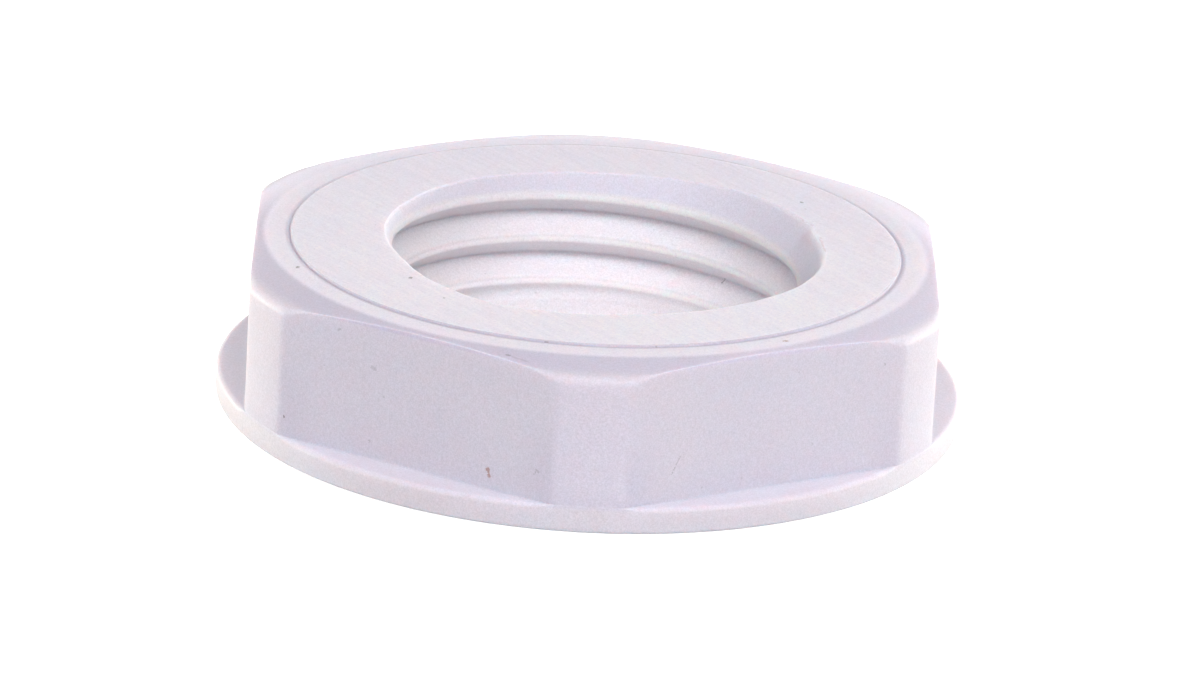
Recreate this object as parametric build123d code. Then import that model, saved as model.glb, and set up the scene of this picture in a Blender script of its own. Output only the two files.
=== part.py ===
"""Locknut for a PG 7 cable gland, moulded in one piece.

Sizes are in millimetres. The nut stands on the flat face of its collar, with the
origin at the centre of that face, +Z up along the thread and one corner of the
hexagon towards -Y.
"""
from math import cos, radians, tan
from pathlib import Path

from build123d import *

# body
across_flats = 19.0
corner_trim = 0.52  # how far each sharp corner of the hexagon is turned down
height = 4.75
collar_h = 0.78

# top face
bevel_in = 0.25  # from a flat in to the circle where the bevel starts
bevel_deg = 12.5
land_margin = 1.9  # from the rim in to the raised land round the bore
land_rise = 0.04

# thread, PG 7: the bore's wall is at its crests
wall = 3.25  # from a flat in to the thread's major radius, 6.25
thread_depth = 0.55
mouth_deg = 45.0  # slope of the countersink at each end, from the axis

# rounding
edge_r = 0.16
foot_r = 0.16

# the collar and the corners of the hexagon are turned to one radius
rim_r = across_flats / 2 / cos(radians(30)) - corner_trim
shoulder_z = height - land_rise


def blank():
    """The turned form: collar, corners, bevelled top and raised land."""
    bevel_r = across_flats / 2 - bevel_in
    land_r = rim_r - land_margin
    section = Plane.XZ * Polyline(
        (0, 0),
        (rim_r, 0),
        (rim_r, shoulder_z - (rim_r - bevel_r) * tan(radians(bevel_deg))),
        (bevel_r, shoulder_z),
        (land_r + land_rise, shoulder_z),
        (land_r, height),
        (0, height),
        close=True,
    )
    return revolve(make_face(section), Axis.Z)


def outside_flats():
    """What the six flats take off the blank, down to the top of the collar."""
    hexagon = RegularPolygon(across_flats / 2, 6, major_radius=False, rotation=30)
    return Pos(0, 0, collar_h) * extrude(Circle(across_flats) - hexagon, height)


def bore():
    """The hole at the thread's minor radius, opened to its major radius at each face."""
    major_r = across_flats / 2 - wall
    minor_r = major_r - thread_depth
    depth = thread_depth / tan(radians(mouth_deg))
    section = Plane.XZ * Polyline(
        (0, 0),
        (major_r, 0),
        (minor_r, depth),
        (minor_r, height - depth),
        (major_r, height),
        (0, height),
        close=True,
    )
    return revolve(make_face(section), Axis.Z)


def hexagon_edges(body):
    """The edges of the flats and corners, less the feet of the flats on the collar."""
    flats = body.faces().filter_by(GeomType.PLANE).filter_by(lambda f: abs(f.normal_at().Z) < 0.5)
    around = flats.edges().filter_by(lambda e: e.center().Z > collar_h + edge_r)
    arcs = body.edges().filter_by(GeomType.CIRCLE)
    on_rim = arcs.filter_by(lambda e: abs(e.radius - rim_r) < 0.001 and e.center().Z > 0.001)
    return around + on_rim


def locknut():
    body = blank() - outside_flats()
    body = fillet(hexagon_edges(body), edge_r)
    foot = body.edges().filter_by(GeomType.CIRCLE).group_by(Axis.Z)[0]
    body = fillet(foot, foot_r)
    return body - bore()


if __name__ == "__main__":
    nut = locknut()
    nut.label = "locknut"
    Path("parts").mkdir(exist_ok=True)
    export_step(nut, "parts/locknut.step")
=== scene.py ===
"""Blender scene for the cable gland locknut: its own mesh, material, light and camera."""

import math

import bpy
import numpy as np
from mathutils import Matrix, Vector


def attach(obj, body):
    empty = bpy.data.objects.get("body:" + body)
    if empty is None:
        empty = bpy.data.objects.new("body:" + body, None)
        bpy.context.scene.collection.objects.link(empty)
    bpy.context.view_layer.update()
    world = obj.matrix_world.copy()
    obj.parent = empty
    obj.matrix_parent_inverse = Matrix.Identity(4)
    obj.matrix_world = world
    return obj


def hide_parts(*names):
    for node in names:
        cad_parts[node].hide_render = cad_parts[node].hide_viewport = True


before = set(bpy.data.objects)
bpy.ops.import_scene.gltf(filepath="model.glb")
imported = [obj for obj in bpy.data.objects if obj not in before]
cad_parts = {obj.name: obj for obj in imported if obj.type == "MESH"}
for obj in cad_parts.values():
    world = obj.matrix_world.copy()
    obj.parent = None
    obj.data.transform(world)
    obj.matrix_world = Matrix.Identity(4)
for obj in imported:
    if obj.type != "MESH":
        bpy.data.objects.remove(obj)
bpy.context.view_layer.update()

MM = 0.001

# Sizes of the body in millimetres, as in the part's source.
FLAT_IN = 9.5           # from the axis to a flat
RIM = FLAT_IN / math.cos(math.radians(30)) - 0.52
HEIGHT = 4.75
COLLAR = 0.78
BEVEL_R = RIM - 1.2     # where the bevel starts
BEVEL_DEG = 12.5
BEVEL = math.tan(math.radians(BEVEL_DEG))
LAND_R = RIM - 1.9
SHOULDER = HEIGHT - 0.04

# Rounding of the body's edges. The flats meet the bevel more sharply than the corners do.
FOOT_R = 0.16
COLLAR_R = 0.15
FLAT_FOOT_R = 0.07
FLAT_TOP_R = 0.03
CORNER_TOP_R = 0.3
UPRIGHT_SOFTNESS = 0.07
BEVEL_SOFTNESS = 0.22
MOUTH_ROUND = 0.05
MOUTH_DROP = MOUTH_ROUND * 0.6

# The step round the land, from outside in: offsets from its radius and from the shoulder.
STEP_PROFILE = [(0.10, 0.0), (0.05, -0.004), (0.022, -0.024), (0.004, -0.034), (-0.012, -0.02),
                (-0.026, 0.022), (-0.04, 0.036), (-0.065, 0.04), (-0.2, 0.04)]

# The thread.
PITCH = 1.27
CREST_R = 5.69
CREST_FLAT = 0.06       # half of the width of the flat crests
CREST_ROUND = 0.12
ROOT_ROUND = 0.06
FLANK_DEG = 40
FLANK = 1 / math.tan(math.radians(FLANK_DEG))
TO_FLANK = math.sin(math.radians(90 - FLANK_DEG))   # where an arc meets the flank, as a share of its radius
CREST_Z = 4.11          # height of the uppermost crest on the far side, at 90 degrees
HALF_PHASES = [0.02, 0.04, 0.052, 0.066, 0.08, 0.094, 0.108, 0.12, 0.17, 0.25,
               0.34, 0.42, 0.464, 0.477, 0.489]
PHASES = [-0.5] + [-p for p in reversed(HALF_PHASES)] + [0.0] + HALF_PHASES
TURNS = range(-5, 2)

# Radius of the bore's edge on the top face, where the thread runs out, by azimuth.
TOP_MOUTH = [(0, 6.42), (9, 6.40), (17.5, 6.41), (20.5, 6.55), (26, 6.51), (36, 6.50), (45, 6.50),
             (52, 6.46), (60, 6.33), (67, 6.26), (74, 6.16), (82, 6.06), (92, 6.03), (104, 6.00),
             (114, 6.02), (126, 6.05), (138, 6.02), (150, 5.94), (164, 5.93), (180, 5.88),
             (192, 5.82), (204, 5.81), (214, 5.93), (224, 6.03), (234, 6.15), (246, 6.24),
             (258, 6.20), (270, 6.12), (284, 6.05), (300, 6.08), (318, 6.17), (332, 6.31),
             (346, 6.38)]


def soft_min(a, b, k):
    return (a + b - np.sqrt((a - b) ** 2 + k * k)) / 2


def soft_max(a, b, k):
    return (a + b + np.sqrt((a - b) ** 2 + k * k)) / 2


def smooth_step(x, low, high):
    t = np.clip((x - low) / (high - low), 0, 1)
    return t * t * (3 - 2 * t)


def column_angles():
    """Azimuths of the mesh columns in degrees, closer together at the hexagon's upright edges."""
    half_flat = math.degrees(math.acos(FLAT_IN / RIM))
    near = [-2.2, -1.6, -1.1, -0.7, -0.4, -0.15, 0.1, 0.35, 0.65, 1.05, 1.6]
    one = [-half_flat - d for d in near] + [half_flat + d for d in near]
    one += list(np.linspace(-half_flat + 2.2, half_flat - 2.2, 35)[1:-1])
    one += list(np.linspace(half_flat + 1.6, 60 - half_flat - 1.6, 8)[1:-1])
    return np.sort(np.concatenate([np.array(one) + 60 * k for k in range(6)]) % 360)


def hexagon_radius(deg):
    """Distance to the flats and the round corners, softened where they meet."""
    a = np.radians((deg + 30) % 60 - 30)
    return soft_min(FLAT_IN / np.cos(a), np.full_like(a, RIM), UPRIGHT_SOFTNESS)


def by_azimuth(deg, knots):
    """Smooth closed curve of values through (azimuth, value) pairs."""
    a = np.array([k[0] for k in knots], float)
    v = np.array([k[1] for k in knots], float)
    a = np.concatenate([a - 360, a, a + 360])
    v = np.tile(v, 3)
    i = np.clip(np.searchsorted(a, deg, side="right") - 1, 1, len(a) - 3)
    t = (deg - a[i]) / (a[i + 1] - a[i])
    m0 = (v[i + 1] - v[i - 1]) / (a[i + 1] - a[i - 1]) * (a[i + 1] - a[i])
    m1 = (v[i + 2] - v[i]) / (a[i + 2] - a[i]) * (a[i + 1] - a[i])
    t2, t3 = t * t, t * t * t
    ends = (2 * t3 - 3 * t2 + 1) * v[i] + (3 * t2 - 2 * t3) * v[i + 1]
    return ends + (t3 - 2 * t2 + t) * m0 + (t3 - t2) * m1


def ragged(deg):
    """The slight raggedness that the mould leaves along the bore's edge."""
    a = np.radians(deg)
    return 0.005 * (np.sin(23 * a + 0.6) + np.sin(41 * a + 2.1) + 0.8 * np.sin(67 * a + 4.4))


def crest_height(deg):
    return CREST_Z + PITCH * (deg - 90) / 360


def rounding(d, radius=CREST_ROUND):
    """Drop of an arc below its tangent at distance d from its middle, out to the flank."""
    d = np.minimum(d, radius * TO_FLANK)
    return radius - np.sqrt(radius ** 2 - d * d)


def thread_radius(phase):
    """Wall radius by phase, in pitches from the nearest crest."""
    crest_half = CREST_ROUND * TO_FLANK
    root_half = ROOT_ROUND * TO_FLANK
    reach = PITCH / 2 - CREST_FLAT
    d = np.maximum(np.abs((phase + 0.5) % 1 - 0.5) * PITCH - CREST_FLAT, 0)
    flank = np.clip(d, crest_half, reach - root_half) - crest_half
    root = rounding(root_half, ROOT_ROUND) - rounding(reach - d, ROOT_ROUND)
    return CREST_R + rounding(d) + flank * FLANK + root


class Grid:
    """Mesh rows round the axis. A row's vertices are made once, so clamped rows can share them."""

    def __init__(self, deg):
        self.deg = deg
        self.rad = np.radians(deg)
        self.points, self.faces = [], []

    def row(self, r, z):
        n = len(self.deg)
        r = np.broadcast_to(np.asarray(r, float), (n,))
        z = np.broadcast_to(np.asarray(z, float), (n,))
        start = len(self.points)
        self.points += list(zip(r * np.cos(self.rad), r * np.sin(self.rad), z))
        return list(range(start, start + n))

    def arc(self, centre_r, centre_z, radius, angles):
        """Rows along an arc of the section. Angles are in degrees, 0 outward and 90 up."""
        turns = np.radians(angles)
        return [self.row(centre_r + radius * math.cos(a), centre_z + radius * math.sin(a)) for a in turns]

    def quad(self, *ids):
        face = [v for k, v in enumerate(ids) if v != ids[k - 1]]
        if len(set(face)) >= 3:
            self.faces.append(tuple(face))

    def join(self, rows):
        n = len(self.deg)
        for lower, upper in zip(rows, rows[1:]):
            for i in range(n):
                j = (i + 1) % n
                self.quad(lower[i], lower[j], upper[j], upper[i])


def collar_rows(g, hex_r):
    """From the underside's outer part round the collar to the flats, and the height where they begin."""
    ledge = np.clip(RIM - hex_r, 0.0008, None)
    edge = np.minimum(COLLAR_R, ledge * 0.75)
    foot = np.minimum(FLAT_FOOT_R, ledge * 0.2)
    rows = [g.row(r, 0.0) for r in (7.4, 8.6, 9.7)]
    rows += g.arc(RIM - FOOT_R, FOOT_R, FOOT_R, (-90, -75, -58, -40, -22, 0))
    rows.append(g.row(RIM, 0.35))
    rows += g.arc(RIM - edge, COLLAR - edge, edge, (0, 18, 38, 58, 76, 90))
    for t in (0.35, 0.7):
        rows.append(g.row((RIM - edge) * (1 - t) + (hex_r + foot) * t, COLLAR))
    rows += g.arc(hex_r + foot, COLLAR + foot, foot, (-90, -120, -150, -180))
    return rows, COLLAR + foot


def side_rows(g, hex_r, foot_z):
    """Up the flats and corners, round their top edge and in over the bevel and the step."""
    slope = math.radians(BEVEL_DEG)
    edge_r = FLAT_TOP_R + (CORNER_TOP_R - FLAT_TOP_R) * smooth_step(hex_r, 10.1, 10.4)
    edge_z = SHOULDER - np.clip(hex_r - BEVEL_R, 0, None) * BEVEL
    centre_r = hex_r - edge_r
    centre_z = edge_z + edge_r * BEVEL - edge_r / math.cos(slope)
    rows = [g.row(hex_r, foot_z * (1 - t) + centre_z * t) for t in np.linspace(0, 1, 16)[1:-1]]
    rows += g.arc(centre_r, centre_z, edge_r, np.linspace(0, 90 - BEVEL_DEG, 9))
    outer = centre_r + edge_r * math.sin(slope)
    inner = LAND_R + 0.16
    for t in (0.12, 0.25, 0.38, 0.5, 0.6, 0.7, 0.8, 0.9, 1.0):
        r = outer * (1 - t) + inner * t
        drop = BEVEL * (soft_max(r - BEVEL_R, np.zeros_like(r), BEVEL_SOFTNESS) - 0.01)
        rows.append(g.row(r, np.minimum(SHOULDER - drop, SHOULDER)))
    return rows + [g.row(LAND_R + dr, SHOULDER + dz) for dr, dz in STEP_PROFILE]


def face_rows(g, from_r, edge_r, face_z, side):
    """Over a flat face to the bore's edge and round it. side is +1 on top, -1 below."""
    q = MOUTH_ROUND
    rows = []
    for t in (0.12, 0.25, 0.38, 0.5, 0.62, 0.74, 0.85, 0.94):
        rows.append(g.row(from_r * (1 - t) + (edge_r + q) * t, face_z))
    turned = np.array([0, 20, 42, 65]) + 90
    return rows + g.arc(edge_r + q, face_z - side * q, q, side * turned)


def mouth_slope(rise, run):
    """Slope of the line that leaves the crest's arc as its tangent and climbs rise over run."""
    slope = np.full_like(rise, 0.7)
    for _ in range(8):
        along = CREST_ROUND * slope / np.sqrt(1 + slope * slope)
        slope = np.clip((rise - rounding(along)) / np.maximum(run - along, 0.05), 0.05, 1.6)
    return slope, CREST_ROUND * slope / np.sqrt(1 + slope * slope)


def wall_radius(deg, z, edge_top, edge_low):
    """Wall radius of the bore at each azimuth and height."""
    crest = crest_height(deg)
    # The last turn fades towards the seating face.
    fade = 0.12 + 0.88 * smooth_step(z, 0.95, 1.6)
    thread = CREST_R + (thread_radius((z - crest) / PITCH) - CREST_R) * fade
    # From the first crest one smooth wall leads up to the mouth.
    first = np.where(deg > 290, crest - PITCH, crest)
    slope, along = mouth_slope(edge_top - CREST_R, np.maximum(HEIGHT - first, 0.15))
    d = np.maximum(z - first, 0)
    wall = CREST_R + rounding(np.minimum(d, along)) + slope * np.maximum(d - along, 0)
    lead_in = np.where(z > first, wall, thread)
    # Round the near side the mouth cuts the first crest away.
    cut = soft_max(thread, edge_top - 0.6 * (HEIGHT - z), 0.02)
    near_side = smooth_step(deg, 198, 214) * smooth_step(deg, 358, 340)
    r = lead_in * (1 - near_side) + cut * near_side
    return soft_max(r, edge_low - z, 0.015)


def thread_table(g, edge_top, edge_low, top_row, low_row):
    """Vertices of the helical rows, clamped to the rows at the two mouths."""
    z_low, z_high = MOUTH_DROP + 1e-4, HEIGHT - MOUTH_DROP - 1e-4
    table = []
    for turn in TURNS:
        for phase in PHASES:
            z = crest_height(g.deg) + PITCH * (turn + phase)
            r = wall_radius(g.deg, np.clip(z, MOUTH_DROP, HEIGHT - MOUTH_DROP), edge_top, edge_low)
            ids = []
            for i, a in enumerate(g.rad):
                if z[i] >= z_high:
                    ids.append(top_row[i])
                elif z[i] <= z_low:
                    ids.append(low_row[i])
                else:
                    ids.append(len(g.points))
                    g.points.append((r[i] * math.cos(a), r[i] * math.sin(a), z[i]))
            table.append(ids)
    return table


def join_thread(g, table, top_row):
    """Each helical row ends one turn up, where the row of the next turn begins."""
    n, per_turn = len(g.deg), len(PHASES)
    beyond = [top_row] * (per_turn + 1)
    first_column = [row[0] for row in table + beyond]
    for k in range(len(table) - 1):
        for i in range(n):
            if i + 1 < n:
                a, b = table[k][i + 1], table[k + 1][i + 1]
            else:
                a, b = first_column[k + per_turn], first_column[k + 1 + per_turn]
            g.quad(table[k][i], table[k + 1][i], b, a)


def build_nut():
    deg = column_angles()
    g = Grid(deg)
    hex_r = hexagon_radius(deg)
    edge_top = by_azimuth(deg, TOP_MOUTH) + ragged(deg)
    edge_low = np.maximum(thread_radius(-crest_height(deg) / PITCH), CREST_R) + 0.16

    rows, foot_z = collar_rows(g, hex_r)
    rows += side_rows(g, hex_r, foot_z)
    rows += face_rows(g, LAND_R - 0.2, edge_top, HEIGHT, 1)
    top_z = HEIGHT - MOUTH_DROP
    top_row = g.row(wall_radius(deg, np.full_like(deg, top_z), edge_top, edge_low), top_z)
    g.join(rows + [top_row])

    low_r = wall_radius(deg, np.full_like(deg, MOUTH_DROP), edge_top, edge_low)
    low_row = g.row(low_r, MOUTH_DROP)
    under = face_rows(g, 7.4, edge_low, 0.0, -1)
    g.join([low_row] + under[::-1] + [rows[0]])
    join_thread(g, thread_table(g, edge_top, edge_low, top_row, low_row), top_row)

    mesh = bpy.data.meshes.new("locknut_body")
    mesh.from_pydata([tuple(c * MM for c in p) for p in g.points], [], g.faces)
    mesh.validate()
    mesh.polygons.foreach_set("use_smooth", [True] * len(mesh.polygons))
    mesh.update()
    ob = bpy.data.objects.new("locknut_body", mesh)
    bpy.context.scene.collection.objects.link(ob)
    return ob


class Nodes:
    """Short calls for shader nodes. A value may be a number, a tuple or another node's output."""

    def __init__(self, tree):
        self.tree = tree

    def put(self, socket, value):
        if isinstance(value, bpy.types.NodeSocket):
            self.tree.links.new(value, socket)
        else:
            socket.default_value = value

    def node(self, kind, **settings):
        node = self.tree.nodes.new(kind)
        for key, value in settings.items():
            setattr(node, key, value)
        return node

    def math(self, operation, *values):
        node = self.node("ShaderNodeMath", operation=operation)
        for socket, value in zip(node.inputs, values):
            self.put(socket, value)
        return node.outputs[0]

    def product(self, first, *others):
        for other in others:
            first = self.math("MULTIPLY", first, other)
        return first

    def around_zero(self, noise, swing):
        """A noise of 0 to 1, spread from -swing to +swing."""
        return self.math("MULTIPLY_ADD", noise, 2 * swing, -swing)

    def vector(self, operation, *values, out="Vector", scale=None):
        node = self.node("ShaderNodeVectorMath", operation=operation)
        for socket, value in zip(node.inputs, values):
            self.put(socket, value)
        if scale is not None:
            self.put(node.inputs["Scale"], scale)
        return node.outputs[out]

    def noise(self, place, scale, detail=0.0):
        node = self.node("ShaderNodeTexNoise")
        self.put(node.inputs["Vector"], place)
        self.put(node.inputs["Scale"], scale)
        self.put(node.inputs["Detail"], detail)
        return node.outputs["Fac"]

    def ramp(self, value, low, high, to_low=0.0, to_high=1.0):
        node = self.node("ShaderNodeMapRange", interpolation_type="SMOOTHSTEP")
        settings = {"Value": value, "From Min": low, "From Max": high, "To Min": to_low, "To Max": to_high}
        for name, setting in settings.items():
            self.put(node.inputs[name], setting)
        return node.outputs["Result"]

    def mix(self, share, first, second):
        node = self.node("ShaderNodeMix", data_type="RGBA")
        self.put(node.inputs["Factor"], share)
        self.put(node.inputs["A"], (*first, 1) if isinstance(first, tuple) else first)
        self.put(node.inputs["B"], (*second, 1) if isinstance(second, tuple) else second)
        return node.outputs["Result"]


# Small marks of dirt and scratches: two ends in millimetres, half width, and strength.
DARK_MARKS = [
    ((-8.23, -3.42, 4.70), (-8.20, -3.30, 4.70), 0.045, 0.55),
    ((-7.53, -1.16, 4.75), (-7.53, -1.16, 4.75), 0.035, 0.3),
    ((-6.16, 0.42, 4.75), (-6.16, 0.42, 4.75), 0.04, 0.35),
    ((-6.18, 1.99, 4.75), (-6.18, 1.99, 4.75), 0.04, 0.25),
    ((-5.11, -3.91, 4.75), (-5.08, -3.86, 4.75), 0.055, 0.65),
    ((-4.81, -3.62, 4.75), (-4.81, -3.62, 4.75), 0.04, 0.5),
    ((-4.14, -5.42, 4.75), (-4.14, -5.42, 4.75), 0.045, 0.5),
    ((5.84, 4.32, 4.75), (5.87, 4.26, 4.75), 0.05, 0.6),
    ((5.94, 3.72, 4.75), (5.94, 3.72, 4.75), 0.045, 0.3),
    ((-0.92, 6.22, 3.50), (-0.92, 6.22, 3.40), 0.03, 0.45),
    ((3.69, 5.04, 2.18), (3.86, 4.95, 2.13), 0.03, 0.5),
    ((3.86, 4.95, 2.13), (3.72, 4.95, 1.92), 0.03, 0.5),
    ((-8.35, -6.15, 1.36), (-8.35, -6.15, 1.34), 0.04, 0.7),
    ((-5.99, -7.52, 3.42), (-5.90, -7.57, 3.36), 0.05, 0.22),
    ((-5.63, -7.72, 2.64), (-5.63, -7.72, 2.64), 0.04, 0.2),
    ((-5.98, -7.52, 1.27), (-5.98, -7.52, 1.27), 0.045, 0.25),
    ((-6.91, -6.98, 4.26), (-6.97, -6.95, 4.22), 0.035, 0.25),
    ((-1.44, -10.14, 1.66), (-1.36, -10.19, 1.62), 0.03, 0.3),
    ((-1.44, -10.14, 1.66), (-1.48, -10.12, 1.55), 0.03, 0.25),
    ((2.43, -9.57, 2.06), (2.22, -9.69, 1.57), 0.022, 0.3),
    ((4.15, -8.57, 1.14), (4.15, -8.57, 1.14), 0.04, 0.25),
    ((3.07, -9.20, 1.03), (3.07, -9.20, 1.03), 0.035, 0.2),
    ((7.93, -6.39, 3.83), (7.93, -6.39, 3.83), 0.045, 0.35),
    ((6.04, -7.48, 1.81), (6.04, -7.48, 1.81), 0.035, 0.2),
    ((-1.36, -8.45, 4.70), (-1.30, -8.46, 4.70), 0.05, 0.45),
    ((1.63, -8.40, 4.70), (1.63, -8.40, 4.70), 0.05, 0.45),
    ((-2.37, -9.36, 4.62), (-2.30, -9.40, 4.62), 0.05, 0.4),
    ((-2.37, -9.36, 4.60), (-1.50, -9.86, 4.50), 0.04, 0.2),
    ((5.88, 2.38, 4.63), (5.85, 2.38, 4.60), 0.045, 0.5),
    ((4.38, 3.88, 3.74), (4.38, 3.88, 3.74), 0.03, 0.5),
]
BROWN_MARKS = [
    ((-2.73, -9.39, 1.33), (-2.69, -9.42, 1.14), 0.06, 0.75),
    ((5.10, -7.40, 4.70), (5.16, -7.36, 4.70), 0.055, 0.6),
    ((6.13, 2.34, 4.75), (5.75, 3.00, 4.75), 0.04, 0.2),
    ((6.44, 0.14, 4.72), (6.30, 1.30, 4.72), 0.04, 0.25),
]


def marks(n, place, table):
    """How strongly each point is covered by the marks of a table."""
    cover = None
    for start, end, half_width, strength in table:
        along = Vector(end) - Vector(start)
        if along.length > 0.001:
            from_start = n.vector("SUBTRACT", place, start)
            reach = n.vector("DOT_PRODUCT", from_start, tuple(along), out="Value")
            share = n.math("DIVIDE", reach, along.length_squared)
            share = n.math("MINIMUM", n.math("MAXIMUM", share, 0.0), 1.0)
            nearest = n.vector("SCALE", tuple(along), scale=share)
            distance = n.vector("DISTANCE", from_start, nearest, out="Value")
        else:
            distance = n.vector("DISTANCE", place, start, out="Value")
        one = n.ramp(distance, half_width * 0.5, half_width * 1.2, strength, 0.0)
        cover = one if cover is None else n.math("MAXIMUM", cover, one)
    return cover


PLASTIC = (0.80, 0.76, 0.845)
PLASTIC_WARM = (0.81, 0.755, 0.825)
PLASTIC_COOL = (0.785, 0.76, 0.86)
DIRT = (0.10, 0.09, 0.10)
RUST = (0.38, 0.20, 0.17)
STROKES_DEG = 52        # the fine strokes on the land run down to the right

# Shades by zone, as factors of the plastic's colour: partly the zones' own tint, partly painted light and
# shade.
LAND = (1.11, 1.10, 1.16)
# Painted shade: a dark ring in the crease of the step round the land.
PAINTED_STEP_SHADE = (0.75, 0.73, 0.78)
BEVEL_TONE = (0.77, 0.765, 0.83)
FLAT_TONE = (0.85, 0.855, 0.87)
# Painted shade at the flats' lower ends, by the corners.
PAINTED_FLAT_END_SHADE = (0.80, 0.80, 0.835)          # the flats' lower ends, by the corners
CORNER_TONE = (0.865, 0.87, 0.89)
RIM_TONE = (0.87, 0.875, 0.86)
THREAD = (1.00, 1.01, 0.96)
# Painted highlight along the underside of each crest.
PAINTED_CREST_HIGHLIGHT = (1.20, 1.195, 1.15)
# Painted shade on the wall between the first crest and the top face.
PAINTED_MOUTH_SHADE = (0.92, 0.935, 0.955)
BORE_R = 6.65                           # inside this radius lies the bore


class Surface:
    """Where a point of the nut lies, in millimetres, and the noises that its material shares."""

    def __init__(self, n):
        self.place = n.vector("SCALE", n.node("ShaderNodeTexCoord").outputs["Object"], scale=1 / MM)
        axes = n.node("ShaderNodeSeparateXYZ")
        n.put(axes.inputs[0], self.place)
        self.x, self.y, self.z = (axes.outputs[k] for k in "XYZ")
        self.radius = n.vector("LENGTH", n.vector("MULTIPLY", self.place, (1.0, 1.0, 0.0)), out="Value")
        self.land = n.product(n.ramp(self.radius, LAND_R - 0.1, LAND_R, 1.0, 0.0),
                              n.ramp(self.z, HEIGHT - 0.05, HEIGHT - 0.01))
        self.grain = n.noise(self.place, 11.0)
        self.fine = n.noise(self.place, 26.0)
        turned = n.node("ShaderNodeVectorRotate", rotation_type="Z_AXIS")
        n.put(turned.inputs["Vector"], self.place)
        n.put(turned.inputs["Angle"], math.radians(STROKES_DEG))
        self.strokes = n.noise(n.vector("MULTIPLY", turned.outputs[0], (0.55, 7.5, 1.0)), 1.0, 1.0)


def moulded_colour(n, s):
    """The plastic's own colour: two slow changes of tint, cloudiness, grain and the land's strokes."""
    clouds = n.noise(s.place, 0.35, 1.0)
    tint = n.noise(n.vector("ADD", s.place, (7.0, 3.0, 5.0)), 0.22)
    colour = n.mix(n.ramp(tint, 0.42, 0.68, 0.0, 0.6), PLASTIC, PLASTIC_WARM)
    colour = n.mix(n.ramp(clouds, 0.55, 0.80, 0.0, 0.6), colour, PLASTIC_COOL)
    shade = n.math("MULTIPLY_ADD", clouds, 0.05, 0.975)
    shade = n.math("ADD", shade, n.around_zero(s.grain, 0.05))
    shade = n.math("ADD", shade, n.around_zero(s.fine, 0.12))
    shade = n.math("ADD", shade, n.product(s.land, n.around_zero(s.strokes, 0.07)))
    return n.vector("SCALE", colour, scale=shade)


def side_tone(n, s):
    """Painted shade and own tint of the flats, corner bands and rim; painted shade low by the corners."""
    # Degrees from the nearest corner. One corner points to -Y.
    turn = n.math("DEGREES", n.math("ARCTAN2", s.x, n.math("MULTIPLY", s.y, -1.0)))
    from_corner = n.math("PINGPONG", n.math("ADD", turn, 360.0), 30.0)
    # Painted shade low on the flats, next to each corner.
    end = n.product(n.ramp(from_corner, 13.0, 6.0), n.ramp(s.z, 3.6, 1.0),
                    n.ramp(s.z, COLLAR - 0.02, COLLAR + 0.08))
    tone = n.mix(end, FLAT_TONE, PAINTED_FLAT_END_SHADE)
    tone = n.mix(n.ramp(s.z, COLLAR - 0.04, COLLAR - 0.12), tone, RIM_TONE)
    corner = n.product(n.ramp(from_corner, 6.2, 4.8), n.ramp(s.z, 0.6, 1.4))
    return n.mix(corner, tone, CORNER_TONE)


def bore_tone(n, s):
    """Bore's shade: painted highlight under the crests, painted shade on the mouth, painted light towards
    +X.
    """
    # Millimetres above the uppermost crest, and from the painted highlight line just below the nearest one.
    turn = n.math("ARCTAN2", n.math("MULTIPLY", s.x, -1.0), s.y)
    crest = n.math("MULTIPLY_ADD", turn, PITCH / math.tau, CREST_Z)
    above = n.math("SUBTRACT", s.z, crest)
    from_crest = n.math("PINGPONG", n.math("ADD", above, 0.05 + 4 * PITCH), PITCH / 2)
    thread = n.mix(n.ramp(from_crest, 0.14, 0.03), THREAD, PAINTED_CREST_HIGHLIGHT)
    tone = n.mix(n.ramp(above, 0.06, 0.2), thread, PAINTED_MOUTH_SHADE)
    # Painted light, growing towards +X.
    return n.vector("SCALE", tone, scale=n.ramp(s.x, -6.2, 6.2, 0.945, 1.07))


def zone_tone(n, s):
    """Shade by zone, with painted shade on the bevel, deepest front left, and on all but the bore to the
    back.
    """
    # Painted shade on the bevel, deepest at the front left and weak at the back.
    bevel = n.product(n.ramp(s.radius, BEVEL_R - 0.08, BEVEL_R + 0.14), n.ramp(s.y, 4.0, 0.0, 0.25, 1.0),
                      n.ramp(s.x, -6.0, -1.0, 1.0, 0.85))
    tone = n.mix(bevel, LAND, BEVEL_TONE)
    tone = n.mix(n.ramp(s.z, 4.56, 4.48), tone, side_tone(n, s))
    # Painted shade, darkening towards the back.
    tone = n.vector("SCALE", tone, scale=n.ramp(s.y, -2.0, 9.0, 1.0, 0.96))
    inside = n.product(n.ramp(s.radius, BORE_R + 0.05, BORE_R - 0.05),
                       n.ramp(s.z, HEIGHT - 0.005, HEIGHT - 0.05))
    tone = n.mix(inside, tone, bore_tone(n, s))
    # Painted shade in the crease of the step round the land.
    step = n.product(n.ramp(s.radius, LAND_R - 0.08, LAND_R - 0.045),
                     n.ramp(s.radius, LAND_R + 0.17, LAND_R + 0.04))
    return n.mix(step, tone, PAINTED_STEP_SHADE)


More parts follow.
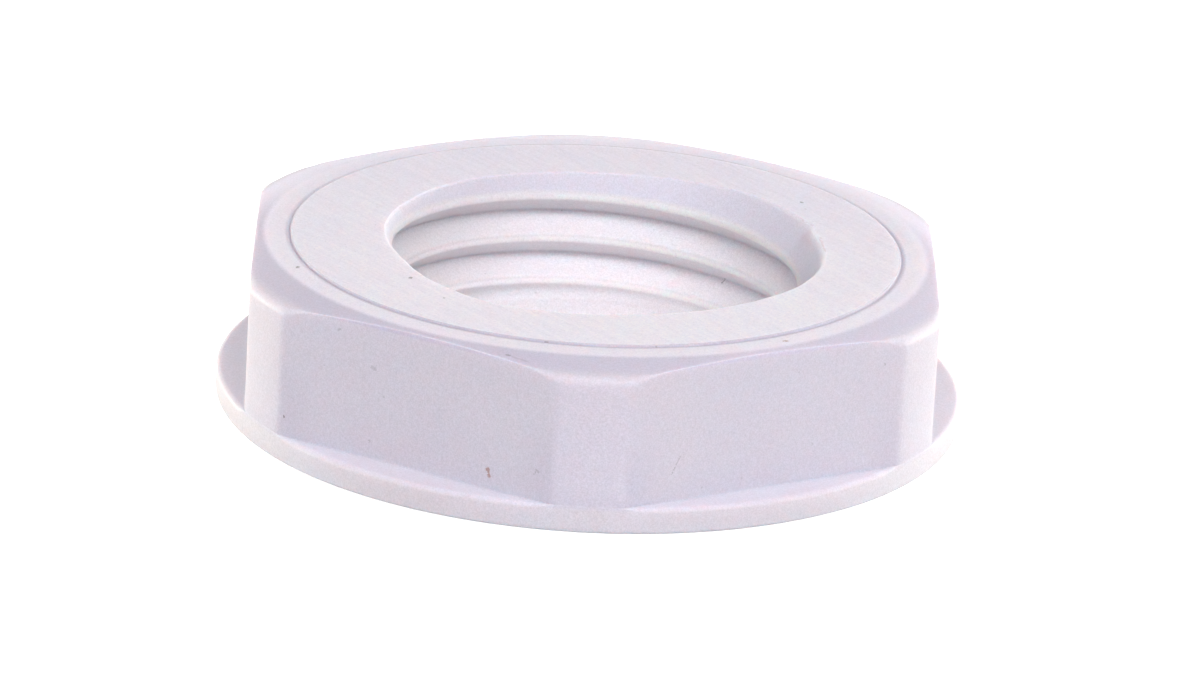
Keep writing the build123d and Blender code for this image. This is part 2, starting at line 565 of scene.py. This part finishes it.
def soiled(n, s, colour):
    """The colour under the specks, scratches, brown smears and dust."""
    uneven = n.vector("SCALE", (0.06, -0.05, 0.05), scale=n.math("SUBTRACT", s.grain, s.fine))
    place = n.vector("ADD", s.place, uneven)
    colour = n.mix(marks(n, place, DARK_MARKS), colour, DIRT)
    colour = n.mix(marks(n, place, BROWN_MARKS), colour, RUST)
    dots = n.node("ShaderNodeTexVoronoi")
    n.put(dots.inputs["Vector"], place)
    n.put(dots.inputs["Scale"], 1.5)
    few = n.math("GREATER_THAN", n.vector("LENGTH", dots.outputs["Color"], out="Value"), 1.05)
    dust = n.product(few, n.ramp(dots.outputs["Distance"], 0.02, 0.055, 0.22, 0.0))
    return n.mix(dust, colour, DIRT)


def relief(n, s):
    """Grain all over, and the strokes on the land, a few thousandths of a millimetre high."""
    height = n.math("ADD", n.product(s.grain, 0.6), n.product(s.fine, 0.3))
    height = n.math("ADD", height, n.product(s.land, s.strokes))
    bump = n.node("ShaderNodeBump")
    n.put(bump.inputs["Height"], height)
    n.put(bump.inputs["Distance"], 0.006 * MM)
    n.put(bump.inputs["Strength"], 0.8)
    return bump.outputs[0]


def plastic():
    mat = bpy.data.materials.new("nut_plastic")
    mat.use_nodes = True
    n = Nodes(mat.node_tree)
    s = Surface(n)
    colour = n.vector("MULTIPLY", moulded_colour(n, s), zone_tone(n, s))
    rough = n.math("MULTIPLY_ADD", s.grain, 0.16, 0.46)
    rough = n.math("ADD", rough, n.product(s.land, n.around_zero(s.strokes, 0.06)))
    settings = {
        "Base Color": soiled(n, s, colour),
        "Roughness": rough,
        "Specular IOR Level": 0.38,
        "Subsurface Weight": 1.0,
        "Subsurface Radius": (1.0, 0.62, 0.55),
        "Subsurface Scale": 0.4 * MM,
        "Normal": relief(n, s),
    }
    bsdf = mat.node_tree.nodes["Principled BSDF"]
    for name, value in settings.items():
        n.put(bsdf.inputs[name], value)
    return mat


def seen_directly(n):
    """1 for camera, glossy and transmission rays, 0 for the rest."""
    path = n.node("ShaderNodeLightPath").outputs
    reflected = n.math("MAXIMUM", path["Is Glossy Ray"], path["Is Transmission Ray"])
    return n.math("MAXIMUM", path["Is Camera Ray"], reflected)


FLOOR_HALF = 0.6        # metres
FLOOR_LIFT = 0.75       # the floor's glow, for the rays that see it directly


def make_stage():
    s = FLOOR_HALF
    mesh = bpy.data.meshes.new("floor")
    mesh.from_pydata([(-s, -s, 0), (s, -s, 0), (s, s, 0), (-s, s, 0)], [], [(0, 1, 2, 3)])
    floor = bpy.data.objects.new("floor", mesh)
    bpy.context.scene.collection.objects.link(floor)
    mat = bpy.data.materials.new("floor_white")
    mat.use_nodes = True
    n = Nodes(mat.node_tree)
    bsdf = mat.node_tree.nodes["Principled BSDF"]
    n.put(bsdf.inputs["Base Color"], (0.9, 0.9, 0.9, 1))
    n.put(bsdf.inputs["Roughness"], 0.9)
    n.put(bsdf.inputs["Emission Color"], (1, 1, 1, 1))
    n.put(bsdf.inputs["Emission Strength"], n.product(seen_directly(n), FLOOR_LIFT))
    mesh.materials.append(mat)


# The camera, from a fit to the photograph: degrees, millimetres and pixels of the photograph.
CAM = dict(az=-1.061, el=19.67, roll=3.231, dist=218.017, focal_px=7750.398, tx=0.363, ty=1.73)
PHOTO_W = 1200
SENSOR_W = 36


def make_camera():
    az, el, roll = (math.radians(CAM[k]) for k in ("az", "el", "roll"))
    back = Vector((math.sin(az) * math.cos(el), -math.cos(az) * math.cos(el), math.sin(el)))
    level = Vector((math.cos(az), math.sin(az), 0))
    upright = back.cross(level)
    right = level * math.cos(roll) + upright * math.sin(roll)
    up = upright * math.cos(roll) - level * math.sin(roll)
    data = bpy.data.cameras.new("camera")
    data.sensor_width = SENSOR_W
    data.lens = SENSOR_W * CAM["focal_px"] / PHOTO_W
    data.clip_start, data.clip_end = 0.01, 10
    cam = bpy.data.objects.new("camera", data)
    matrix = Matrix((right, up, back)).transposed().to_4x4()
    matrix.translation = (back * CAM["dist"] + right * CAM["tx"] + up * CAM["ty"]) * MM
    cam.matrix_world = matrix
    bpy.context.scene.collection.objects.link(cam)
    bpy.context.scene.camera = cam


WHITE = (1.0, 1.0, 1.0)
COOL = (0.99, 0.98, 1.0)
CREAM = (1.0, 0.98, 0.93)
WARM = (1.0, 0.955, 0.79)
# Name, place and size in metres, watts and colour. All of them aim at the middle of the nut's foot.
LAMPS = [
    ("key", (0.0, -0.162, 0.192), (0.42, 0.096), 0.71, COOL),
    ("key_right", (0.24, -0.22, 0.28), (0.2, 0.16), 0.30, WHITE),
    ("back", (0.0, 0.45, 0.07), (0.8, 0.18), 0.58, WHITE),
    ("back_right", (0.32, 0.30, 0.12), (0.3, 0.24), 0.68, CREAM),
    ("side_left", (-0.36, 0.20, 0.008), (0.25, 0.012), 1.40, WARM),
    ("side_right", (0.36, 0.20, 0.008), (0.25, 0.012), 0.92, WARM),
]


def area_light(name, place, size, power, colour):
    data = bpy.data.lights.new(name, "AREA")
    data.shape = "RECTANGLE"
    data.size, data.size_y = size
    data.energy = power
    data.color = colour
    ob = bpy.data.objects.new(name, data)
    ob.location = place
    ob.rotation_mode = "QUATERNION"
    ob.rotation_quaternion = (-Vector(place)).to_track_quat("-Z", "Y")
    bpy.context.scene.collection.objects.link(ob)


def make_light():
    for lamp in LAMPS:
        area_light(*lamp)
    world = bpy.context.scene.world or bpy.data.worlds.new("world")
    bpy.context.scene.world = world
    world.use_nodes = True
    n = Nodes(world.node_tree)
    background = world.node_tree.nodes["Background"]
    n.put(background.inputs["Color"], (1, 1, 1, 1))
    n.put(background.inputs["Strength"], seen_directly(n))


nut = build_nut()
nut.data.materials.append(plastic())
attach(nut, "root")
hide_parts("locknut")
make_stage()
make_camera()
make_light()
bpy.context.scene.view_settings.view_transform = "Standard"
